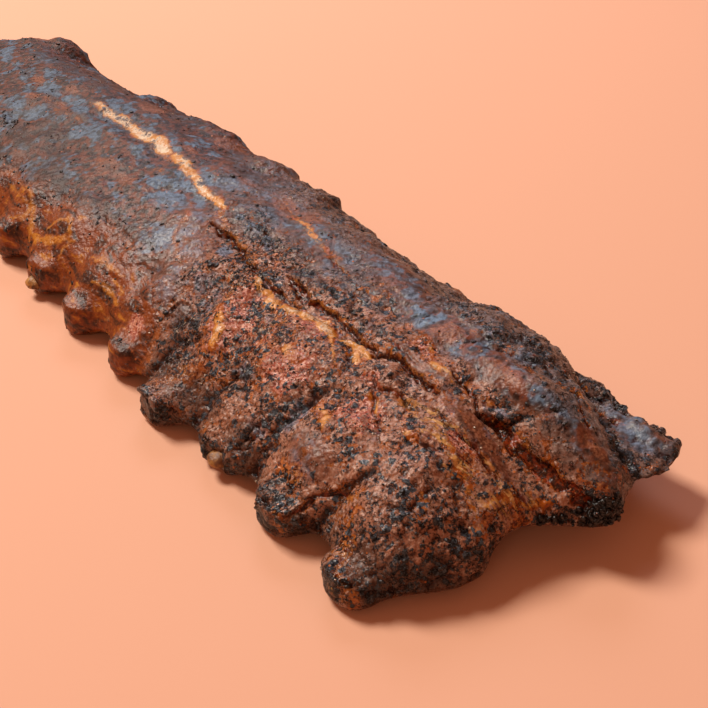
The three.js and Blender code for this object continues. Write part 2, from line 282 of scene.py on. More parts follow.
# Orange-brown: the flank under the far ribs, which the smoke reached last, and rust-coloured places
FLANK_EDGE = ([-220, -120, -76, -66, -50, -38, -25, -10, 8, 25, 38, 50, 62, 75, 240],
              [-42, -46, -46, -39, -40, -38, -36, -34, -32, -33, -35, -38, -42, -60, -80])
RUST_LINES = [
    [(34, 1, 1.2), (45, -3.4, 1.6), (52, -3.8, 2.0), (60, -5.2, 2.2), (66, -7, 2.2), (72, -9.4, 1.4),
     (84, -11, 1.2)],
    [(24, 2.8, 0.8), (32, 1.6, 1.1), (40, 0, 0.9), (43, -2.5, 0.6)],
    [(29, -8, 0.7), (30, -13, 1.0), (33, -17, 1.2), (38, -21, 1.0), (46, -23.5, 0.8), (50, -25, 0.5)],
    [(72, -18, 0.8), (79, -22.5, 1.2), (86, -26.5, 0.9)],
    [(-24, 8.6, 2.2), (-18, 8.4, 3.0), (-13, 7.6, 2.0)],
    [(-48, 7.4, 1.2), (-42, 7.2, 2.0), (-36, 7.6, 1.4)],
    [(10, 4.2, 0.8), (24, 3.0, 1.0), (34, 1.6, 1.0)],
    [(-12, -1.0, 2.0), (-6, -1.6, 2.0)],
    [(-106, -3.5, 1.4), (-96, -5.5, 2.0), (-86, -6.5, 2.2), (-76, -4, 2.2), (-70, -1, 1.4)],
    [(-114, -9, 0.8), (-108, -11.5, 1.4), (-101, -12.5, 0.9)],
    [(36, 25.5, 0.8), (50, 21, 1.1), (60, 18.8, 1.4), (75, 16.2, 1.4), (92, 12.8, 1.2), (100, 10.6, 0.8)],
    [(88, -3.2, 0.7), (100, -5.2, 0.9), (115, -3.8, 0.8), (130, -5.2, 0.7), (137, -5, 0.4)],
    [(138, -4.2, 0.6), (150, -3.3, 0.8), (160, -3.6, 0.6)],
    [(160, 5, 0.6), (170, 4.4, 0.8), (180, 4.4, 1.2), (192, 4.8, 1.4), (204, 7.6, 1.0)],
    [(184, 24, 0.9), (188, 28, 1.4), (190, 33, 1.2), (192, 37, 0.9)],
    [(181, -50, 1.2), (184, -53, 1.4), (190, -56.5, 2.0), (195, -58, 2.4)],
    [(157, -54, 1.6), (160, -57, 1.8)],
    [(34, 22, 0.8), (40, 23.5, 1.4), (46, 20, 0.7)],
    [(86, 12.4, 0.6), (97, 10.5, 0.6)],
    [(100, 9.4, 0.3), (108, 9.2, 0.6), (116, 8.8, 0.4), (122, 8.2, 0.6), (130, 7.8, 0.4), (140, 9, 0.4)],
    [(177, -46, 0.8), (179, -50, 1.2), (181, -54, 0.9)],
]
RUST_PATCHES = [(210, 13, 5, 5), (146, -33, 7, 5), (190, -30, 5, 4), (160, -14, 8, 4), (172, -44, 9, 5),
                (132, -12, 7, 5), (152, -48, 9, 5), (-105, -12, 8, 4), (-98, -5, 6, 3), (115, 13, 8, 4),
                (152, 20, 7, 3), (104, -20, 8, 5), (88, -48, 8, 5), (56, -48, 7, 4), (208, 28, 3, 5),
                (-72, -33, 6, 3), (211, 14, 6, 6), (214, 21, 3, 4)]
ring = np.abs(np.hypot((PLACE[:, 0] - 171.5) / 0.9, (PLACE[:, 1] - 46.5) / 1.2) - 2.6)
rust = most(*(strand(line, 1.0) for line in RUST_LINES), *(0.75 * patch(*p) for p in RUST_PATCHES),
            1 - ramp(0.3, 1.4, ring), patch(183, 44.5, 3.5, 1.4)) * up
flank = 1 - ramp(-4.0, 6.0, PLACE[:, 1] - np.interp(PLACE[:, 0], *FLANK_EDGE))

# Pink-red flesh that shows where the bark is thin
FLESH_PATCHES = [(90, -29, 12, 8, 0.9), (55, -47, 7, 4, 0.9), (124, -30, 15, 12, 0.9), (116, -16, 9, 5, 0.8),
                 (154, -26, 12, 10, 0.9), (147, -16, 6, 4, 0.8), (92, -30, 12, 13, 0.9),
                 (86, -20, 10, 8, 0.7), (186, 4.6, 5, 1.2, 0.8), (199, 3.2, 4, 1.0, 0.8),
                 (182, -11, 8, 4, 0.8), (146, 4, 9, 4, 0.6), (55, -48, 8, 5, 0.7), (104, -28, 14, 12, 0.5),
                 (-128, 2, 12, 4, 0.8), (-106, 6, 8, 3, 0.8), (175, 17, 14, 6, 0.3), (148, 13, 9, 6, 0.4)]
flesh = most(*(s * patch(x, y, a, b) for x, y, a, b, s in FLESH_PATCHES)) * up

# Char: black crust on the rims, the nubs and the lobes nearest the fire
CHAR_LINES = [
    (0.55, [(138, -24, 1.0), (137, -32, 1.8), (133, -40, 2.6), (128, -46, 3.2), (126, -52, 2.8)]),
    (0.65, [(206, -12, 1.0), (206, -25, 2.5), (203, -38, 2.8), (199, -50, 3.0), (190, -57, 2.0)]),
    (1.0, [(208, 1, 0.8), (212, 6, 1.6), (217, 12, 2.4), (217, 18, 1.4)]),
    (0.6, [(95, 0, 1.5), (115, 0, 1.8), (132, -1, 1.2)]),
    (0.3, [(175, 0.6, 0.8), (178, 2.2, 1.4), (181, 5.5, 1.2), (183, 8, 0.5)]),
    (1.0, [(169, 50, 0.8), (177, 46, 1.2), (186, 41.5, 1.4), (197, 36, 1.5), (209, 31.5, 2.0)]),
    (0.8, [(178, 52, 2.5), (190, 52, 2.5), (206, 52, 2.0), (212, 46, 2.0), (215, 40, 2.0)]),
]
CHAR_PATCHES = [(188, -36, 18, 20, 0.42), (192, 15, 10, 5, 0.35), (153, -10, 6, 3, 0.6),
                (133, 14, 6, 6, 0.4), (157, 21, 10, 5, 0.45), (150, -54, 6, 6, 1.0), (187, -58, 5, 5, 0.7),
                (110, -38, 10, 6, 0.45), (70, -38, 12, 7, 0.5), (82, -8, 8, 3.5, 0.65),
                (-100, -23, 18, 6, 0.45), (-195, 22, 14, 7, 0.4), (-175, 17, 14, 6, 0.4),
                (130, 27, 12, 8, 0.5), (170, 30, 18, 10, 0.5), (205, 30, 10, 10, 0.55), (90, 1, 16, 5, 0.5),
                (122, -1, 12, 3, 0.5), (114, 17, 6, 4, 0.4), (56, 4, 10, 5, 0.4), (75, -44, 12, 8, 0.5)]
char = most(*(whole * strand(line, 2.5) for whole, line in CHAR_LINES),
            *(s * patch(x, y, a, b) for x, y, a, b, s in CHAR_PATCHES),
            0.5 * strand([(x, y + 1.5, 1.6) for x, y in zip(*FLANK_EDGE)][3:13], 2.0),
            0.9 * ramp(-55.5, -58.5, PLACE[:, 1]))
char = char * up * (1 - 0.9 * patch(193, -59, 6, 5)) * (1 - 0.8 * patch(159.5, -57, 3, 3))

# Pepper: the stretch where coarse grains of the rub stand thickest
pepper = most(patch(84, -28, 46, 30), 0.7 * patch(60, -2, 34, 14))

# Painted sheen: glossy places painted blue-grey as a reflection of cool light, the brightest of them painted
# highlights
gloss_and_painted_sheen = patches([
    (-110, 0, 13, 5, -5, 1.0), (-92, 3, 16, 5, 0, 0.8), (-80, 0, 9, 4.5, 0, 1.0), (-74, 12, 8, 4, -20, 0.9),
    (-69, 17, 8, 5, -20, 0.5), (-65, -8, 8, 9, 25, 0.8), (-56, -5, 10, 4, 0, 0.6),
    (-98, -15, 14, 5, 15, 0.7), (-113, -17, 11, 5, 15, 0.7), (-105, -23, 8, 4, 0, 0.7),
    (-80, -35, 9, 4, 0, 0.6), (-65, 4.5, 12, 3, -8, 0.6), (-44, 13, 10, 3.5, -10, 0.7),
    (-31, 16, 10, 6, -25, 0.7), (-19, 12, 6, 3, 0, 0.7), (-27, 0, 14, 4, 0, 0.45), (-2, -6, 7, 5, 0, 0.8),
    (9, 2, 6, 3, 0, 0.8), (8, 9.5, 6, 3, -15, 0.7), (12, -10, 16, 9, 0, 0.85), (32, -21, 10, 8, 0, 0.9),
    (21, -1, 10, 4, -25, 0.7), (30, -7, 6, 4, -30, 0.5), (43, 4, 4, 2.6, 0, 1.0), (52, 4, 6, 3.5, 0, 0.8),
    (64, 2, 9, 4.5, -20, 0.9), (56, -11, 9, 4, -25, 1.0), (47, -18, 7, 5, 0, 0.5), (66, -25, 9, 7, 0, 0.6),
    (74, -27, 7, 7, 0, 0.6), (88, 17.5, 11, 4, -10, 0.6), (50, 12, 14, 4, -15, 0.5),
    (20, 14, 12, 5, -20, 0.5), (95, 5, 5, 3.5, 0, 0.5), (104, 5, 5, 3.5, 0, 0.7),
    (111, -10.5, 5, 1.6, -20, 1.0), (84, -7, 7, 3, 0, 0.6), (102, -21, 6, 4, -10, 0.7),
    (111, -37, 8, 5, 0, 0.6), (135, 13, 6, 5.5, 0, 0.7), (122, 18, 5, 3, 0, 0.7), (138, 18, 3, 3, 0, 0.8),
    (138, -36, 5, 9, 0, 0.8), (129, -45, 9, 4, 15, 0.7), (190, 15, 12, 5, 5, 0.6),
    (166, 26, 16, 8, -30, 0.5), (148, 41, 14, 9, -35, 0.6), (154, 22, 9, 4, 0, 0.6),
    (200, 44, 12, 7, 0, 0.7), (188, 48, 14, 6, -10, 0.6), (178.5, 4.5, 4.5, 2.8, 40, 1.0),
    (165, -2, 4, 3, 30, 0.7), (155, -8, 5, 3, 0, 0.5), (-130, 9, 14, 5, 0, 0.6), (-177, 7, 17, 5, -25, 0.8),
    (-148, 15, 16, 6, -10, 0.5), (-195, 17, 14, 6, -15, 0.4), (115, 2, 16, 4, 0, 0.35)]) * up

# Warm: dull rose and tan places where the smoke is thin
warm = patches([
    (-127, 2, 11, 5, 0, 0.9), (-102, 6.5, 9, 3.5, 0, 1.0), (-92, -4, 13, 5, -5, 0.8),
    (-112, -8, 10, 4, 10, 0.9), (-30, -14, 16, 8, 0, 0.6), (-14, -13, 11, 6, 0, 0.7),
    (-28, -22, 8, 4, 0, 0.5), (-65, 27, 14, 9, -40, 0.7), (-20, 38, 8, 12, -50, 0.7),
    (-16, 17, 7, 4, 0, 0.9), (46, 22, 15, 6, -25, 0.9), (58, 24, 9, 8, 0, 0.8), (20, 21, 8, 4, 0, 0.6),
    (-183, 31, 14, 7, 20, 0.7), (-50, -2, 9, 3, 0, 0.5), (146, 14, 10, 7, -10, 0.9),
    (172, 13, 14, 5, 0, 0.8), (205, 18, 9, 4, 0, 0.8), (113, 15, 14, 6, 0, 0.6), (60, -16, 15, 7, -20, 0.6),
    (183, -4.5, 18, 3.5, -5, 1.0), (150, -1, 13, 2.5, 0, 0.7), (64, 10, 14, 5, -10, 0.5)]) * up

# Smoke and sheen: the top and the far side, greyed by smoke and by a painted grey sheen
SMOKE_AND_SHEEN_EDGE = ([-220, -120, -60, 0, 40, 90, 160, 200, 230], [-26, -18, -6, -8, -2, 3, 9, 9, 12])
smoke_and_sheen = ramp(-8, 8, PLACE[:, 1] + 2 * wander[:, 0] - np.interp(PLACE[:, 0], *SMOKE_AND_SHEEN_EDGE)) * up

# Soot and painted shade: dull places dark with burnt juice, patches on the far half painted darker as shade,
# and the low rims of the near lobes painted darker near the floor
low_rim = (1 - ramp(3.5, 15.0, P[:, 2])) * ramp(45, 75, P[:, 0]) * ramp(-0.75, -0.35, N[:, 2])
soot_and_shade = patches([
    (-85, -26, 26, 6, -6, 1.0), (-75, -16, 22, 8, 0, 0.7), (-45, -31, 26, 9, 0, 0.8),
    (-58, -22, 16, 7, 0, 0.7), (-10, -30, 24, 8, 0, 0.7), (15, -27, 20, 7, 0, 0.5),
    (-100, 18, 16, 7, -10, 0.8), (-135, 21, 36, 10, -8, 0.8), (-165, 18, 22, 7, -10, 0.7),
    (-120, 33, 34, 9, -25, 0.7), (-60, 38, 40, 9, -25, 0.6), (-102, -3, 7, 3, 0, 0.7),
    (0, 30, 44, 9, -20, 0.6), (90, 0, 18, 5, -5, 0.8), (126, -1.5, 13, 3, 0, 0.8), (-140, 1, 9, 3, -10, 0.8),
    (-126, -11, 9, 4, 0, 0.8), (72, -37, 13, 7, 0, 0.7), (92, -49, 30, 7, 0, 0.8),
    (110, 26, 30, 7, -15, 0.5), (45, -30, 14, 6, 0, 0.4), (130, 42, 24, 8, -35, 0.6),
    (-195, 22, 12, 6, -15, 0.6), (192, -52, 16, 9, 0, 0.9), (128, -50, 12, 6, 0, 0.8),
    (172, -48, 9, 5, 0, 0.5), (202, -36, 3, 8, 0, 1.0), (199, -45, 7, 7, 0, 0.9),
    (184.5, -57.5, 4, 3, 0, 1.0), (-84, -42, 16, 8, 0, 1.0), (163, -54, 4, 4, 0, 1.0)]) * up
low_rim *= 1 - 0.9 * patch(193, -58, 6, 5)
soot_and_shade = most(soot_and_shade, 0.5 * low_rim)

# Calm: where the bark is smooth
calm = most(ramp(75, -5, P[:, 0] + 0.6 * P[:, 1]), patches([
    (148, 15, 36, 9, 0, 1.0), (178, 13, 20, 6, 0, 1.0), (205, 17, 12, 6, 0, 1.0),
    (183, -4.5, 20, 4.5, -5, 1.0), (60, 18, 50, 10, -10, 0.8), (20, -14, 30, 14, 0, 0.7),
    (150, -1.5, 16, 3, 0, 0.8), (152, -42, 14, 7, 0, 0.5), (110, 24, 40, 12, -15, 0.7),
    (197, 46, 20, 9, 0, 0.6)])) * up

# Towards the far end the bark is drier and plainer, and painted darker as shade
far = ramp(40, -65, PLACE[:, 0] + 6 * wander[:, 1]) * (1 - 0.85 * fat) * (1 - 0.9 * flank) * up

# The fibres of the near end draw together towards one point. Each is 1.5 mm wide at 40 mm from it,
# and runs 11 mm along and 14 mm deep before it changes.
fan_x, fan_y = 236.0, -2.0
turn = np.arctan2(P[:, 1] - fan_y, fan_x - P[:, 0])
reach = np.hypot(P[:, 1] - fan_y, fan_x - P[:, 0])
fibre_place = np.stack([turn * 40 / 1.5, reach / 11, P[:, 2] / 14], 1)
fibres = lumps(fibre_place, 1.0)
fibrous = most(patch(180, -13, 26, 11, 0, P[:, :2]), patch(202, -10, 6, 14, 0, P[:, :2])) * (1 - calm) * up

# The crust: soft lumps, sharper crags, plates with splits between them, and small chips
craggy = (0.34 + 0.55 * char + 0.16 * pepper) * (1 - 0.6 * calm)
soft_lumps = 0.9 * lumps(P, 22, 2.2) + (0.9 - 0.4 * calm) * lumps(P, 10, 4.4)
crags = (0.9 * lumps(P, 5.2, 6.1) + 0.75 * (0.45 - 2 * np.abs(lumps(P, 3.6, 7.3)))
         + 0.45 * lumps(P, 2.1, 8.8) + 0.35 * lumps(P, 1.3, 9.9))
bent = P + 1.1 * np.stack([wander[:, 0], wander[:, 1], wander[:, 0]], 1)
near1, near2, own = cells(bent, 6.5, 17.0)
split = 1 - ramp(0.0, 0.16, near2 - near1)
plates = 1.3 * (own - 0.5) * ramp(0.0, 0.25, near2 - near1) - 0.7 * split
near1, near2, own = cells(bent, 2.4, 23.0)
chips = 0.95 * (own - 0.35) * ramp(0.0, 0.3, near2 - near1)

# Flakes: flat black scabs of burnt rub, in drifts, with ragged edges
ragged = P + 0.9 * np.stack([lumps(P, 1.6, 61.0), lumps(P, 1.6, 62.0), lumps(P, 1.6, 63.0)], 1)
drift = lumps(P, 11, 31.0) + 0.6 * lumps(P, 4, 33.0)
near1, near2, own = cells(ragged, 1.9, 41.0)
flake = (own + 0.5 * drift + 0.25 * char > 1.02) * ramp(0.02, 0.2, near2 - near1)
near1, near2, own = cells(ragged, 1.2, 43.0)
small = own + 0.4 * drift + 0.2 * char + 0.1 * pepper > 1.01
flake = np.maximum(flake, small * ramp(0.02, 0.25, near2 - near1))
flake = flake * up * (1 - 0.8 * fat) * (1 - glaze) * (1 - 0.6 * fibrous) * (1 - 0.9 * calm)

# Muscles that stand up between the grooves where they have drawn apart
MUSCLES = [(115, -26, 21, 15, 0, 1.6), (148, -12, 12, 5.5, 0, 1.3), (152, -36, 17, 13, 10, 1.4),
           (187, -34, 17, 17, 0, 1.5), (182, -5, 18, 6, -8, 1.0), (85, -28, 13, 14, 0, 1.0),
           (62, -20, 14, 12, 0, 0.8), (192, 14, 24, 7, 0, 0.9)]
GROOVES = [([(167, -52, 2.0), (168, -44, 1.6), (172, -36, 1.0)], 1.8),
           ([(137, -54, 2.5), (136, -42, 1.8), (139, -26, 0.8)], 1.6),
           ([(104, -54, 2.5), (106, -44, 1.5), (108, -38, 0.8)], 1.5),
           ([(72, -56, 2.5), (75, -46, 1.5), (80, -40, 0.8)], 1.5),
           ([(92, -9, 0.8), (104, -11, 0.8), (122, -9.5, 0.8), (133, -12, 0.8), (137, -20, 0.8)], 0.9),
           ([(138, -18, 0.8), (150, -17, 0.8), (162, -14, 0.8), (176, -10, 0.6)], 0.8),
           ([(176, -20, 0.6), (190, -21, 0.6), (201, -24, 0.8)], 1.0)]
# Humps along the back, and how high each stands
HUMPS = [(-40, 44, 32, 14, 0, 3.4), (-100, 48, 9, 12, 0, 3.6), (-85, 49, 14, 12, 0, 1.8),
         (-171, 38, 14, 12, 0, 3.2), (-196, 29, 16, 12, 0, 2.0), (8, 42, 12, 12, 0, 2.6),
         (40, 42, 8, 10, 0, 3.2), (165, 41, 12, 9, 0, 1.8), (203, 51, 15, 9, 0, 2.4)]
# The fold above the tongue, and the raised lip at the near end with a furrow beside it
FOLD = [(169, 50, 0.3), (177, 46, 0.5), (186, 41, 0.6), (197, 35.5, 0.6), (211, 30, 0.6)]
LIP = [(175, 0.6, 1.0), (178, 2.6, 1.8), (181, 5.8, 1.4), (183, 8, 0.5)]
LIP_FURROW = [(174, -1.2, 0.5), (178, 0.0, 0.6), (181.5, 2.8, 0.5), (184, 6.5, 0.4)]

# Relief, in millimetres outwards
relief = soft_lumps * (0.45 + 0.55 * up) - 0.55 + patches(HUMPS)
relief += (0.9 * lumps(P, 6.5, 91.0) + 0.5 * lumps(P, 2.6, 92.0)) * ramp(28, 40, P[:, 1]) * up
relief += sum(h * patch(x, y, a, b, t) for x, y, a, b, t, h in MUSCLES) * up
relief -= sum(h * strand(line, 1.6) for line, h in GROOVES) * up
relief += crags * craggy * (0.35 + 0.65 * up)
relief -= 1.5 * char * ramp(-0.25, 0.0, -np.abs(lumps(P, 7.5, 51.0))) * up
relief -= 1.6 * strand(FOLD, 1.4, P[:, :2])
relief += 0.3 * flake
relief += plates * craggy * up * (1 - 0.7 * fat)
relief += chips * (0.2 + 0.6 * char + 0.25 * pepper) * (1 - 0.85 * calm) * up
relief -= FURROW_DEPTH * glaze
relief -= FURROW_DEPTH * most(*(strand(GLAZE_LINES[i], 0.7) for i in DEEP_FURROWS)) * up
relief += 0.6 * fat * (0.7 + 0.9 * lumps(P, 1.9, 19.0))
relief += 0.4 * flank_fat
relief += 0.8 * fibres * fibrous
relief += 1.3 * strand(LIP, 1.0) * up
relief -= 1.0 * strand(LIP_FURROW, 0.6) * up

# The ragged rim at the near end, blistered black
blistered = strand([(206, -3, 0.3), (208.5, 0, 0.8), (213, 6, 1.2), (217.5, 12, 1.8), (218, 17, 1.2)], 1.0)

# How much a place stands above the bark around it, from 0 in a crevice to 1 on a crest
CREST_PASSES = 14
edge_ends = np.empty(len(meat.data.edges) * 2, np.int32)
meat.data.edges.foreach_get("vertices", edge_ends)
from_end, to_end = edge_ends.reshape(-1, 2).T
neighbours = np.bincount(from_end, minlength=len(P)) + np.bincount(to_end, minlength=len(P))
around = relief.copy()
for _ in range(CREST_PASSES):
    around = (np.bincount(from_end, around[to_end], len(P))
              + np.bincount(to_end, around[from_end], len(P))) / neighbours
crest = np.clip(0.5 + 0.8 * (relief - around), 0, 1)

# The nubs' crust reaches past most of the bones' tips
BARE_TIPS = [3, 7, 9]
NUB_WIDTH = 6.5
at_nub = sum(np.exp(-((P[:, 0] - x) / NUB_WIDTH) ** 2)
             for i, x in enumerate(RIB_X, 1) if i not in BARE_TIPS)
past_tip = 2.6 * at_nub * ramp(-50, -55, P[:, 1])
past_tip -= 1.8 * np.exp(-((P[:, 0] - RIB_X[2] + 1) / NUB_WIDTH) ** 2) * ramp(-53, -56, P[:, 1])
# The nubs nearest the ragged end lean towards the far end
leaning = sum(np.exp(-((P[:, 0] - x + 8) / 5) ** 2) for x in RIB_X[:4]) * ramp(-49, -54, P[:, 1])

INSIDE = 0.02  # the slab keeps this far inside the solids' box
lowest, highest = (np.array(c) / MM for c in cad_box)
P = P + N * relief[:, None] - np.outer(past_tip, (0, 1, 0)) - np.outer(leaning, (2.2, 0.8, 0))
P = np.clip(P, lowest + INSIDE, highest - INSIDE)
set_points(meat.data, P)

MASKS = {"fat": fat, "flank_fat": flank_fat, "glaze": glaze, "rust": rust, "flank": flank, "flesh": flesh,
         "char": char, "pepper": pepper, "gloss_and_painted_sheen": gloss_and_painted_sheen, "under": under, "fibrous": fibrous, "flake": flake,
         "crest": crest, "smoke_and_sheen": smoke_and_sheen, "soot_and_shade": soot_and_shade, "warm": warm, "calm": calm, "blistered": blistered,
         "far": far, "low_rim": low_rim}
for name, values in MASKS.items():
    layer = meat.data.attributes.new(name, "FLOAT", "POINT")
    layer.data.foreach_set("value", values.astype(np.float32))

layer = meat.data.attributes.new("along_fibres", "FLOAT_VECTOR", "POINT")
layer.data.foreach_set("vector", fibre_place.astype(np.float32).ravel())

# Fewer triangles where they show least: on the underside and towards the far end
plain = np.round(np.clip(0.15 + 0.45 * ramp(60, -80, P[:, 0]) + 0.9 * under, 0, 1), 1)
group = meat.vertex_groups.new(name="plain")
for level in np.unique(plain):
    group.add(np.flatnonzero(plain == level).tolist(), float(level), "REPLACE")
thin = meat.modifiers.new("thin", "DECIMATE")
thin.ratio = MEAT_TRIANGLES / (2 * len(meat.data.polygons))
thin.vertex_group = "plain"
thin.vertex_group_factor = 1.0
thin.use_collapse_triangulate = True
apply_modifiers(meat)
set_points(meat.data, np.clip(points_of(meat.data), lowest + INSIDE, highest - INSIDE))
meat.vertex_groups.clear()
meat.data.shade_smooth()


# ---- The slab of meat: its bark ------------------------------------------------------------------
# Smoke-set meat bark: a dry, dark crust of rub, juice and fat over pink meat. Broken crust gives
# the eye a hundred small cool glints, the fat a waxy yellow, and the glaze in the creases a wet red.

def linear(hex_colour):
    parts = [int(hex_colour[i:i + 2], 16) / 255 for i in (1, 3, 5)]
    return tuple(p / 12.92 if p <= 0.04045 else ((p + 0.055) / 1.055) ** 2.4 for p in parts) + (1.0,)


def add(tree, kind, inputs=None, **settings):
    """Adds a node with its settings, its values and its links."""
    made = tree.nodes.new("ShaderNode" + kind)
    for name, value in settings.items():
        setattr(made, name, value)
    for socket, value in (inputs or {}).items():
        if isinstance(value, bpy.types.NodeSocket):
            tree.links.new(value, made.inputs[socket])
        else:
            made.inputs[socket].default_value = value
    return made


def new_material(name):
    material = bpy.data.materials.new(name)
    material.use_nodes = True
    material.node_tree.nodes.clear()
    return material, material.node_tree


def in_millimetres(tree):
    """The place on the object, in millimetres."""
    place = add(tree, "TexCoord").outputs["Object"]
    return add(tree, "Mapping", {"Vector": place, "Scale": (1 / MM, 1 / MM, 1 / MM)}).outputs["Vector"]


bark, tree = new_material("smoked_meat_bark")
mm = in_millimetres(tree)


def attribute(name):
    return add(tree, "Attribute", attribute_name=name).outputs["Fac"]


def mottle(size, detail=2.0, rough=0.55, seed=0.0):
    """Noise from 0 to 1 whose blotches are this many millimetres across."""
    return add(tree, "TexNoise", {"Vector": mm, "W": seed, "Scale": 1 / size, "Detail": detail,
                                  "Roughness": rough}, noise_dimensions="4D").outputs["Fac"]


def sums(a, b, factor=1.0, offset=0.0):
    """a + factor * b + offset"""
    part = add(tree, "Math", {0: b, 1: factor, 2: offset}, operation="MULTIPLY_ADD").outputs[0]
    return add(tree, "Math", {0: part, 1: a}, operation="ADD").outputs[0]


def product(a, b):
    return add(tree, "Math", {0: a, 1: b}, operation="MULTIPLY").outputs[0]


def above(value, low, high, to_low=0.0, to_high=1.0):
    return add(tree, "MapRange", {"Value": value, "From Min": low, "From Max": high, "To Min": to_low,
                                  "To Max": to_high}, interpolation_type="SMOOTHSTEP").outputs["Result"]


def over(below, colour, amount):
    """Lays a colour over what is below, where amount is 1."""
    upper = linear(colour) if isinstance(colour, str) else colour
    return add(tree, "Mix", {0: amount, 6: below, 7: upper}, data_type="RGBA").outputs[2]


broad = mottle(16, 1.0)                   # whole muscles darker or lighter
blotch = mottle(5.0, 4.0, 0.6)            # broken edges of the crust
grain = mottle(1.3, 4.0, 0.62)            # grains of the rub
seep = mottle(2.6, 5.0, 0.7, 5.0)         # where the juice has seeped through
dust = mottle(0.8, 4.0, 0.7, 9.0)         # dust between the grains
fine = mottle(0.45, 2.0)                  # salt-fine roughness
fat_here, flesh_here, char_here = attribute("fat"), attribute("flesh"), attribute("char")
flank_here, glaze_here, gloss_and_painted_sheen_here = attribute("flank"), attribute("glaze"), attribute("gloss_and_painted_sheen")
rust_here, pepper_here, under_here = attribute("rust"), attribute("pepper"), attribute("under")
flake_here, crest_here, smoke_and_sheen_here = attribute("flake"), attribute("crest"), attribute("smoke_and_sheen")
fibrous_here, calm_here, far_here = attribute("fibrous"), attribute("calm"), attribute("far")
fibre_lines = add(tree, "Attribute", attribute_name="along_fibres").outputs["Vector"]
strands = add(tree, "TexNoise", {"Vector": fibre_lines, "Scale": 1.0, "Detail": 4.0,
                                 "Roughness": 0.65}).outputs["Fac"]

# Under the crust: amber juice and rendered fat, pink flesh, and the orange-brown flank
wet = over(linear("#4d1808"), "#ad6534", above(grain, 0.38, 0.56))
wet = over(wet, "#d8a682", product(above(dust, 0.52, 0.68), above(broad, 0.35, 0.6)))
rust_tone = over(linear("#5f260c"), "#a8692c", above(grain, 0.4, 0.6))
rust_tone = over(rust_tone, "#cf9f66", above(dust, 0.56, 0.68, 0.0, 0.8))
wet = over(wet, rust_tone, above(sums(rust_here, seep, 2.4, -1.2), 0.45, 0.85, 0.0, 0.9))
along = add(tree, "Mapping", {"Vector": mm, "Scale": (0.35, 1, 1)}).outputs["Vector"]
streaks = add(tree, "TexNoise", {"Vector": along, "Scale": 1 / 4.5, "Detail": 4.0, "Roughness": 0.55,
                                 "Distortion": 0.8}).outputs["Fac"]
flank_tone = over(linear("#2c0d02"), "#783508", above(streaks, 0.38, 0.54))
flank_tone = over(flank_tone, "#bb781c", above(streaks, 0.56, 0.68, 0.0, 0.85))
wet = over(wet, flank_tone, above(sums(flank_here, grain, 0.8, -0.4), 0.4, 0.8, 0.0, 0.9))
flesh_tone = over(linear("#943c28"), "#d9a088", above(dust, 0.42, 0.62))
wet = over(wet, flesh_tone, above(sums(flesh_here, seep, 1.8, -0.9), 0.3, 0.75, 0.0, 0.85))
wet = over(wet, "#bd7a26", above(sums(attribute("flank_fat"), blotch, 1.4, -0.7), 0.4, 0.9, 0.0, 0.8))
wet = over(wet, "#9a4d12", above(sums(fat_here, grain, 1.6, -0.8), 0.05, 0.35))
wet = over(wet, "#c8873c", above(sums(fat_here, blotch, 2.4, -1.2), 0.3, 0.65, 0.0, 0.95))
creamy = sums(sums(fat_here, blotch, 2.4, -1.2), dust, 1.6, -0.8)
wet = over(wet, "#e2cdb0", above(creamy, 0.78, 1.2, 0.0, 0.95))
juice = over(linear("#240502"), "#843210", above(mottle(1.5, 4.0, 0.65, 17.0), 0.46, 0.62))
juice = over(juice, "#c98a4c", above(dust, 0.58, 0.68, 0.0, 0.85))
wet = over(wet, juice, above(sums(glaze_here, grain, 1.0, -0.5), 0.3, 0.7, 0.0, 0.95))

# The crust: rub, juice and smoke set hard, red-brown where it is thin and grey on top with smoke and a
# painted grey sheen
crust = over(linear("#542e1e"), "#9d6a52", above(grain, 0.36, 0.54))
# Painted highlight: pale flecks on the crests
crust = over(crust, "#c09c88", product(above(dust, 0.46, 0.66), above(crest_here, 0.25, 0.7)))
crust = over(crust, "#935a30", product(above(seep, 0.61, 0.73), above(broad, 0.3, 0.55, 0.2, 0.9)))
# Smoked crust with a painted grey sheen, for the top and the far side
smoked_and_sheen_tone = over(linear("#3a2a25"), "#745d55", above(grain, 0.36, 0.58))
# Painted highlight: pale flecks on the crests of the smoked crust
smoked_and_sheen_tone = over(smoked_and_sheen_tone, "#8b7266", product(above(dust, 0.5, 0.68), above(crest_here, 0.25, 0.7)))
smoked_and_sheen_tone = over(smoked_and_sheen_tone, "#7a4a36", above(seep, 0.6, 0.74, 0.0, 0.4))
crust = over(crust, smoked_and_sheen_tone, above(sums(smoke_and_sheen_here, blotch, 1.2, -0.6), 0.3, 0.7, 0.0, 0.9))
even_tone = over(linear("#6a4033"), "#57443e", smoke_and_sheen_here)
crust = over(crust, even_tone, product(calm_here, 0.5))
crust = over(crust, "#33130a", above(blotch, 0.43, 0.34, 0.0, 0.7))
# Painted blue-grey sheen on the top and the far side
slate = above(sums(smoke_and_sheen_here, mottle(9, 3.0, 0.5, 6.0), 3.0, -1.5), 0.95, 1.45, 0.0, 0.6)
crust = over(crust, "#565d66", slate)
black = over(linear("#130c0a"), "#3c3c42", above(grain, 0.42, 0.62))
charred = above(sums(sums(char_here, grain, 2.4, -1.2), blotch, 3.6, -1.8), 0.6, 0.95, 0.0, 0.7)
crust = over(crust, black, product(charred, above(crest_here, 0.15, 0.6, 0.5, 1.0)))

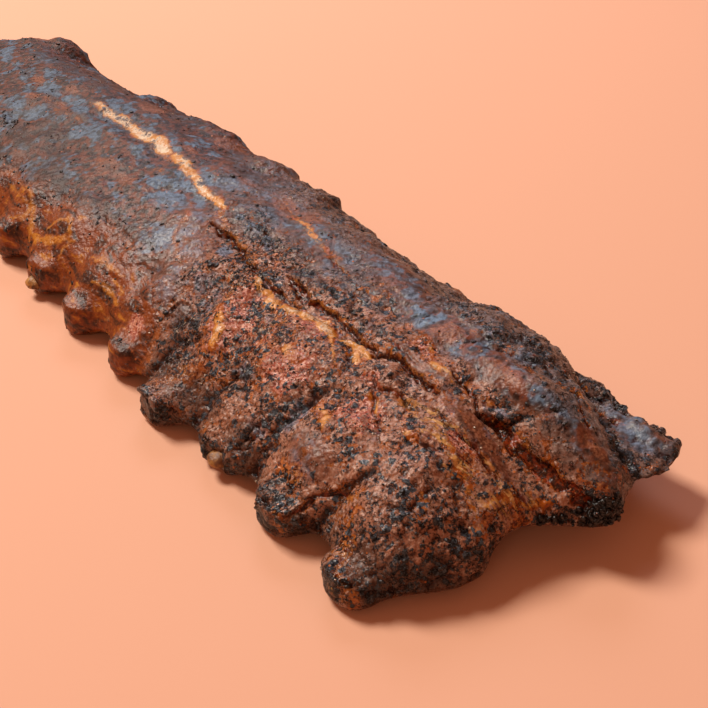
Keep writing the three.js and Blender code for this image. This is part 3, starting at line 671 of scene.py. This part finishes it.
cover = sums(sums(sums(sums(0.72, char_here, 0.35), fat_here, -0.75), flesh_here, -0.42), flank_here, -1.0)
cover = sums(sums(sums(cover, glaze_here, -0.8), rust_here, -0.5), pepper_here, -0.2)
cover = sums(cover, fibrous_here, -0.05)
cover = sums(sums(sums(cover, crest_here, 0.3, -0.15), smoke_and_sheen_here, 0.12, -0.04), calm_here, 0.2)
crusted = above(sums(sums(blotch, dust, 0.5, -0.25), cover, 0.34, -0.17), 0.465, 0.535)
base = over(wet, crust, crusted)
base = over(base, "#cf9a58", product(fibrous_here, above(strands, 0.55, 0.62, 0.0, 0.9)))
base = over(base, "#591407", product(fibrous_here, above(strands, 0.44, 0.39, 0.0, 0.9)))
marked = sums(sums(sums(fat_here, glaze_here), rust_here, 0.9), flank_here, 1.2)
bare = add(tree, "Math", {0: 1.0, 1: marked}, operation="SUBTRACT", use_clamp=True).outputs[0]
# Smooth places: dull brown mottled with a painted blue-grey sheen
dull = over(linear("#200b05"), "#733c25", above(mottle(2.4, 1.5, 0.5, 33.0), 0.38, 0.62))
blue = over(linear("#2a3946"), "#647f9a", above(mottle(1.8, 1.5, 0.5, 35.0), 0.36, 0.62))
leaning_blue = sums(sums(mottle(3.6, 1.5, 0.5, 31.0), gloss_and_painted_sheen_here, 0.3), smoke_and_sheen_here, 0.03)
leaning_blue = sums(sums(leaning_blue, mottle(11.0, 1.0, 0.5, 37.0), 0.7, -0.35), attribute("warm"), -0.14)
mottled = over(dull, blue, above(leaning_blue, 0.53, 0.68))
base = over(base, mottled, product(product(bare, calm_here), 0.93))
# Painted shade: the far end darkened
base = over(base, "#26130c", product(far_here, 0.34))
# Soot, with painted shade
soot_and_shade_tone = over(linear("#24130e"), "#432c23", above(seep, 0.38, 0.62))
sooty_and_shaded = above(sums(attribute("soot_and_shade"), blotch, 1.2, -0.6), 0.15, 0.85, 0.0, 0.65)
base = over(base, soot_and_shade_tone, product(bare, sooty_and_shaded))
# Painted shade: the low rims of the near lobes darkened near the floor
base = over(base, "#1a0805", product(product(bare, attribute("low_rim")), 0.8))
warm_tone = over(linear("#70381f"), "#ad7150", above(dust, 0.4, 0.62))
warmed = above(sums(attribute("warm"), blotch, 1.4, -0.7), 0.3, 0.85, 0.0, 0.6)
base = over(base, warm_tone, product(bare, warmed))
# Painted sheen: a blue-grey reflection painted on the glossy places
painted_sheen_tone = over(linear("#2f3e4c"), "#7289a2", above(grain, 0.34, 0.64))
glossy_painted_sheen = product(bare, above(sums(gloss_and_painted_sheen_here, blotch, 2.0, -1.0), 0.35, 0.95))
base = over(base, painted_sheen_tone, product(glossy_painted_sheen, above(calm_here, 0.3, 0.9, 0.8, 0.4)))
# Painted shade: crevices darkened, less so in the glaze
crevice_shade = product(above(sums(crest_here, dust, 0.5, -0.25), 0.36, 0.1, 0.0, 0.85),
                  above(glaze_here, 0.2, 0.7, 1.0, 0.25))
base = over(base, "#2c0a03", crevice_shade)

# Cracks: short dark gaps in the crust
split_line = add(tree, "Math", {0: sums(mottle(3.6, 4.0, 0.6, 12.0), -0.5)}, operation="ABSOLUTE").outputs[0]
rough_here = above(sums(calm_here, fat_here, 0.6), 0.1, 0.75, 1.0, 0.0)
cracked = product(product(above(split_line, 0.02, 0.004), above(mottle(5.0, 2.0, 0.5, 14.0), 0.42, 0.55)),
                  rough_here)
base = over(base, "#180704", product(cracked, 0.9))

# Flakes and chips of burnt rub. The finer ones are thin ragged scabs with a shadow round each.
dark = above(flake_here, 0.3, 0.6)
# Scabs: black, with a painted blue-grey sheen and pale painted highlights
black_scab = over(linear("#131214"), "#454c55", above(grain, 0.4, 0.6))
black_scab = over(black_scab, "#76818c", above(dust, 0.54, 0.68, 0.0, 0.8))
base = over(base, black_scab, dark)
warp = add(tree, "TexNoise", {"Vector": mm, "Scale": 1 / 0.8, "Detail": 3.0,
                              "Roughness": 0.6}).outputs["Color"]
ragged_mm = add(tree, "VectorMath", {0: warp, 1: (2.2, 2.2, 2.2), 2: mm},
                operation="MULTIPLY_ADD").outputs["Vector"]
clump = mottle(6.0, 3.0, 0.6, 21.0)       # scabs lie in drifts
plenty = sums(sums(sums(0.05, char_here, 0.34), clump, 2.2, -1.1), pepper_here, 0.08)
plenty = sums(sums(sums(plenty, calm_here, -0.55), fat_here, -0.5), glaze_here, -0.6)
plenty = sums(sums(sums(plenty, flesh_here, -0.12), flank_here, -0.2), gloss_and_painted_sheen_here, -0.15)
SCAB_SIZES = (2.4, 1.35, 0.75)            # how far across, in millimetres
scab_height = 0.0
for size in SCAB_SIZES:
    scab = add(tree, "TexVoronoi", {"Vector": ragged_mm, "Scale": 1 / size, "Randomness": 1.0}, feature="F1")
    pick = add(tree, "SeparateColor", {"Color": scab.outputs["Color"]}).outputs[0]
    chosen = above(sums(pick, plenty), 0.97, 1.0)
    base = over(base, "#170906", product(product(chosen, above(scab.outputs["Distance"], 0.72, 0.5)), 0.75))
    scabbed = product(chosen, above(scab.outputs["Distance"], 0.5, 0.4))
    base = over(base, black_scab, scabbed)
    dark = add(tree, "Math", {0: dark, 1: scabbed}, operation="MAXIMUM").outputs[0]
    scab_height = sums(scab_height, scabbed, 0.16)
blistered_here = attribute("blistered")
tarry = over(linear("#060404"), "#2a1c18", above(grain, 0.45, 0.65))
base = over(base, tarry, above(sums(blistered_here, grain, 1.6, -0.8), 0.35, 0.65, 0.0, 0.95))

speck = add(tree, "TexVoronoi", {"Vector": mm, "Scale": 1 / 1.5, "Randomness": 1.0}, feature="F1")
speck_pick = add(tree, "SeparateColor", {"Color": speck.outputs["Color"]}).outputs[1]
specks = product(above(speck.outputs["Distance"], 0.3, 0.2), above(speck_pick, 0.965, 0.975))
base = over(base, "#ae5f2e", product(specks, above(under_here, 0.6, 0.2)))

# The underside keeps its skin: a tan, leathery membrane stretched over the ribs
membrane = over(linear("#7a4a2c"), "#a9743f", above(blotch, 0.35, 0.65))
membrane = over(membrane, "#4a2618", above(mottle(9, 3.0), 0.5, 0.7, 0.0, 0.7))
base = over(base, membrane, above(under_here, 0.55, 0.95))

# Roughness: wet juice and fat shine through the gaps, and the crust is duller
shine = add(tree, "Mix", {0: crusted, 2: 0.13, 3: above(blotch, 0.4, 0.6, 0.36, 0.2)}).outputs[0]
satin = product(calm_here, above(flank_here, 0.3, 0.8, 0.85, 0.2))
for place, rough in ((glossy_painted_sheen, 0.15), (dark, 0.2), (glaze_here, 0.08), (blistered_here, 0.1),
                     (flank_here, 0.42), (satin, 0.45), (product(far_here, 0.85), 0.58), (under_here, 0.4)):
    shine = add(tree, "Mix", {0: place, 2: shine, 3: rough}).outputs[0]

# Bumps, in parts of the deepest: grains, beads of fat, scabs, cracks and fibres
BARK_BUMP = 1.6 * MM
beads = add(tree, "TexVoronoi", {"Vector": mm, "Scale": 1 / 1.5, "Randomness": 1.0},
            feature="SMOOTH_F1").outputs["Distance"]
height = sums(sums(sums(product(mottle(1.6, 1.0, 0.5, 2.0), 0.32), beads, -0.16), fine, 0.08), blotch, 0.3)
height = sums(sums(sums(height, crusted, 0.09), scab_height), mottle(0.8, 2.0, 0.6, 3.0), 0.2)
height = sums(sums(height, cracked, -0.25), product(blistered_here, beads), -1.1)
height = product(sums(height, product(fibrous_here, strands), 0.9), above(calm_here, 0.0, 1.0, 1.0, 0.3))
height = sums(height, product(calm_here, mottle(1.8, 2.0, 0.5, 41.0)), 0.45)
bump = add(tree, "Bump", {"Height": height, "Strength": 1.0, "Distance": BARK_BUMP})
shader = add(tree, "BsdfPrincipled", {"Base Color": base, "Roughness": shine,
                                      "Normal": bump.outputs["Normal"],
                                      "IOR": 1.45, "Specular IOR Level": 0.38})
add(tree, "OutputMaterial", {"Surface": shader.outputs["BSDF"]})
meat.data.materials.clear()
meat.data.materials.append(bark)
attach(meat, "root")
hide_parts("meat")

# ---- Crumbs on the bark --------------------------------------------------------------------------
# Loose bits that the smoke has stuck on: flat chips of burnt rub, cracked black pepper, brick-red
# grains of spice, and black blisters on the ragged rim. Each is a small broken pebble, sunk nearly
# half way into the bark.

points, normals = points_of(meat.data), normals_of(meat.data)
corner = np.empty(len(meat.data.loops), np.int32)
meat.data.loops.foreach_get("vertex_index", corner)
corner = corner.reshape(-1, 3)
side_a, side_b = points[corner[:, 1]] - points[corner[:, 0]], points[corner[:, 2]] - points[corner[:, 0]]
area = np.linalg.norm(np.cross(side_a, side_b), axis=1) / 2


def worth(name):
    values = np.empty(len(points), np.float32)
    meat.data.attributes[name].data.foreach_get("value", values)
    return values[corner].mean(1)


def pebbles(seed, kinds=6):
    """A few broken pebbles of radius 1, as points and faces."""
    made = []
    for kind in range(kinds):
        bm = bmesh.new()
        bmesh.ops.create_icosphere(bm, subdivisions=1, radius=1.0)
        for v in bm.verts:
            v.co *= 0.82 + 0.38 * noise.noise(v.co * 1.3 + Vector((seed, kind * 3.7, 0)))
        corners = np.array([v.co[:] for v in bm.verts])
        made.append((corners, np.array([[v.index for v in f.verts] for f in bm.faces])))
        bm.free()
    return made


def scatter(name, count, weight, size, flat, sink, material, seed):
    """Sticks this many pebbles on the bark, thicker where weight is high. Sizes in millimetres."""
    rng = np.random.default_rng(seed)
    towards_small = 2.2
    chance = area * weight
    faces = rng.choice(len(corner), count, p=chance / chance.sum())
    shapes = pebbles(seed)
    u, v = rng.random(count), rng.random(count)
    over_edge = u + v > 1
    u[over_edge], v[over_edge] = 1 - u[over_edge], 1 - v[over_edge]
    spots = points[corner[faces, 0]] + u[:, None] * side_a[faces] + v[:, None] * side_b[faces]
    lean = normals[corner[faces]].mean(1)
    all_points, all_faces, start = [], [], 0
    sizes = size[0] + (size[1] - size[0]) * rng.random(count) ** towards_small
    spins = rng.random(count) * math.tau
    kinds = rng.integers(len(shapes), size=count)
    for spot, out, radius, spin, kind in zip(spots, lean, sizes, spins, kinds):
        shape, shape_faces = shapes[kind]
        turned = Vector(out).to_track_quat("Z", "Y").to_matrix() @ Matrix.Rotation(spin, 3, "Z")
        scale = np.array([1.0, 0.62 + 0.3 * math.sin(spin), flat]) * radius
        all_points.append((shape * scale) @ np.array(turned).T + spot + out * radius * flat * (1 - 2 * sink))
        all_faces.append(shape_faces + start)
        start += len(shape)
    mesh = bpy.data.meshes.new(name)
    placed = np.clip(np.concatenate(all_points), lowest + 0.01, highest - 0.01)
    mesh.from_pydata((placed * MM).tolist(), [], np.concatenate(all_faces).tolist())
    mesh.update()
    mesh.shade_smooth()
    mesh.materials.append(material)
    piece = bpy.data.objects.new(name, mesh)
    bpy.context.scene.collection.objects.link(piece)
    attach(piece, "root")
    return piece


# Each kind's low and high colour, roughness, and the colour of its broken core. Burnt rub is a dull
# blue-black, cracked pepper shows pale cores, spice stays brick red, and blistered char is glassy.
CRUMBS = {"burnt_rub": ("#0e0b0b", "#34363c", 0.28, None),
          "cracked_pepper": ("#1a1210", "#4a3f3a", 0.14, "#c9b6a0"),
          "brick_red_spice": ("#6e2a14", "#a9552c", 0.4, None),
          "blistered_char": ("#070505", "#231a18", 0.12, None)}
CRUMB_BUMP = 0.4 * MM
crumb = {}
for kind, (low, high, rough, core) in CRUMBS.items():
    crumb[kind], tree = new_material(kind)
    mm = in_millimetres(tree)
    tone = over(linear(low), high, above(mottle(0.9, 2.0), 0.42, 0.62))
    if core:
        tone = over(tone, core, above(mottle(2.2, 1.0, 0.5, 4.0), 0.56, 0.6))
    bump = add(tree, "Bump", {"Height": mottle(0.5, 2.0), "Strength": 1.0, "Distance": CRUMB_BUMP})
    shader = add(tree, "BsdfPrincipled", {"Base Color": tone, "Roughness": rough,
                                          "Normal": bump.outputs["Normal"]})
    add(tree, "OutputMaterial", {"Surface": shader.outputs["BSDF"]})

middle = points[corner].mean(1)
facing_up = normals[corner].mean(1)[:, 2]
dry = (1 - worth("glaze")) * (1 - 0.95 * worth("fat")) * np.clip(facing_up + 0.45, 0, 1)
drifts = np.clip(0.35 + 1.6 * lumps(middle, 6, 3.3), 0.02, None)
scatter("char_chips", 1100, dry * drifts * (0.25 + 2.6 * worth("char") + 0.5 * worth("pepper")),
        (0.4, 1.5), 0.38, 0.42, crumb["burnt_rub"], 11)
scatter("pepper_grains", 2200, dry * drifts * (0.06 + 2.4 * worth("pepper") ** 2 + 0.5 * worth("flesh")),
        (0.3, 0.75), 0.6, 0.4, crumb["cracked_pepper"], 12)
scatter("spice_grains", 380, dry * (0.35 + 0.8 * worth("char") + 0.6 * worth("rust")),
        (0.3, 0.7), 0.6, 0.4, crumb["brick_red_spice"], 13)
scatter("char_blisters", 190, worth("blistered") ** 2 * np.clip(facing_up + 0.7, 0, 1),
        (0.45, 1.5), 0.75, 0.45, crumb["blistered_char"], 14)

# ---- The twelve rib bones ------------------------------------------------------------------------
# Curved, flattened loin-rib bones that run through the meat. Only their sawn, smoked tips show at
# the nubs, dry and tan where the meat has drawn back from them, and burnt black at the edges.

BONE_BUMP = 0.4 * MM
bone_material, tree = new_material("smoked_rib_bone")
mm = in_millimetres(tree)
blotch, grain, fine = mottle(4, 3.0), mottle(1.1, 3.0), mottle(0.4)
tone = over(linear("#6b3f1f"), "#b98442", above(blotch, 0.4, 0.65))
tone = over(tone, "#d9a75e", above(grain, 0.55, 0.75, 0.0, 0.5))
tone = over(tone, "#1d1512", above(sums(attribute("burnt"), grain, 1.2, -0.6), 0.5, 0.8))
bump = add(tree, "Bump", {"Height": sums(grain, fine, 0.4), "Strength": 0.7, "Distance": BONE_BUMP})
shader = add(tree, "BsdfPrincipled", {"Base Color": tone, "Roughness": above(grain, 0.3, 0.7, 0.35, 0.6),
                                      "Normal": bump.outputs["Normal"], "IOR": 1.5})
add(tree, "OutputMaterial", {"Surface": shader.outputs["BSDF"]})

BURNT_TIPS = [0.6, 1.0, 0.05, 0.8, 0.9, 0.9, 0.5, 0.7, 0.6, 0.6, 0.7, 0.5]
for number, burnt in enumerate(BURNT_TIPS, 1):
    bone = merged_copy(f"bone_{number:02d}", f"rib_bone_{number:02d}")
    rounder = bone.modifiers.new("round", "SUBSURF")
    rounder.levels = rounder.render_levels = 2
    apply_modifiers(bone)
    points, normals = points_of(bone.data), normals_of(bone.data)
    pits = 0.35 * lumps(points, 3.5, number) + 0.2 * lumps(points, 1.4, number) - 0.2
    grown = points + normals * pits[:, None]
    low, high = (np.array(c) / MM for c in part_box(f"bone_{number:02d}"))
    set_points(bone.data, np.clip(grown, np.maximum(low, lowest), np.minimum(high, highest)))
    tip = burnt * ramp(-52, -58, points[:, 1]) + 0.25 * lumps(points, 4, number + 40)
    layer = bone.data.attributes.new("burnt", "FLOAT", "POINT")
    layer.data.foreach_set("value", tip.astype(np.float32))
    bone.data.shade_smooth()
    bone.data.materials.clear()
    bone.data.materials.append(bone_material)
    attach(bone, "root")
    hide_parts(f"bone_{number:02d}")

# ---- The floor, the light and the camera ---------------------------------------------------------
# A plain pale table top under studio light: a soft lamp above the far end, a weak cool window behind
# it, a weak warm lamp beside the camera, and a warm glow all round. The camera is at the near corner.

FLOOR_HALF = 4.0

floor_material, tree = new_material("pale_floor")
shader = add(tree, "BsdfPrincipled", {"Base Color": linear("#e6b092"), "Roughness": 0.85})
add(tree, "OutputMaterial", {"Surface": shader.outputs["BSDF"]})
bm = bmesh.new()
bmesh.ops.create_grid(bm, x_segments=1, y_segments=1, size=FLOOR_HALF)
floor_mesh = bpy.data.meshes.new("floor")
bm.to_mesh(floor_mesh)
bm.free()
floor_mesh.materials.append(floor_material)
floor = bpy.data.objects.new("floor", floor_mesh)
bpy.context.scene.collection.objects.link(floor)


def lamp(name, place, target, width, height, power, colour):
    data = bpy.data.lights.new(name, "AREA")
    data.shape = "RECTANGLE"
    data.size, data.size_y = width, height
    data.energy = power
    data.color = linear(colour)[:3]
    made = bpy.data.objects.new(name, data)
    made.location = place
    made.rotation_euler = (Vector(target) - Vector(place)).to_track_quat("-Z", "Y").to_euler()
    bpy.context.scene.collection.objects.link(made)


lamp("key", (-1.2, -0.35, 1.65), (0.03, 0, 0), 0.65, 0.65, 49, "#fff6ea")
lamp("window", (-1.5, 1.1, 1.4), (0, 0, 0), 0.95, 0.65, 12, "#dbe6ff")
lamp("fill", (1.3, -1.5, 1.3), (0.1, 0, 0), 1.2, 0.9, 4, "#ffd9bc")

world = bpy.data.worlds.new("studio")
world.use_nodes = True
world.node_tree.nodes["Background"].inputs["Color"].default_value = linear("#f5a37e")
world.node_tree.nodes["Background"].inputs["Strength"].default_value = 0.32
bpy.context.scene.world = world
bpy.context.scene.view_settings.view_transform = "Standard"

camera_data = bpy.data.cameras.new("camera")
camera_data.lens, camera_data.sensor_width = 60, 36
camera = bpy.data.objects.new("camera", camera_data)
camera.location = (0.3712, -0.1877, 0.2349)
camera.rotation_euler = Euler((math.radians(90 - 34.24), 0, math.radians(53.58)))
bpy.context.scene.collection.objects.link(camera)
bpy.context.scene.camera = camera
